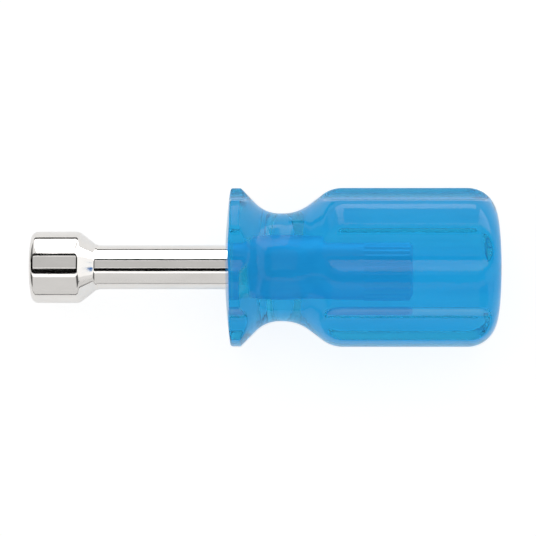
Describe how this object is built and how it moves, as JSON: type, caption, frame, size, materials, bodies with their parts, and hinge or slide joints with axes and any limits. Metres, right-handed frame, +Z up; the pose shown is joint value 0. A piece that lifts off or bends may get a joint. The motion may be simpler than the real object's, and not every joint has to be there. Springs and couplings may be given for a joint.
{
  "type": "nut driver",
  "caption": "Stubby hollow-shaft nut driver: plated hexagon socket on a tube shaft, pressed into a clear blue fluted plastic handle with a flange and a waisted neck.",
  "frame": {"origin": "under the middle of the tool's length, on the ground that it lies on", "axes": "+X along the shaft from the socket's mouth to the butt of the handle, +Z up, with one flute of the handle straight down"},
  "size_m": [0.0888, 0.0306, 0.0292],
  "materials": {
    "handle_plastic": "clear blue cellulose plastic, polished",
    "plated_tube": "bright nickel and chrome plate on steel tube",
    "plated_socket": "bright nickel and chrome plate on turned steel"
  },
  "bodies": {
    "root": {"handle": "handle_plastic", "shaft": "plated_tube", "socket": "plated_socket"}
  },
  "joints": []
}
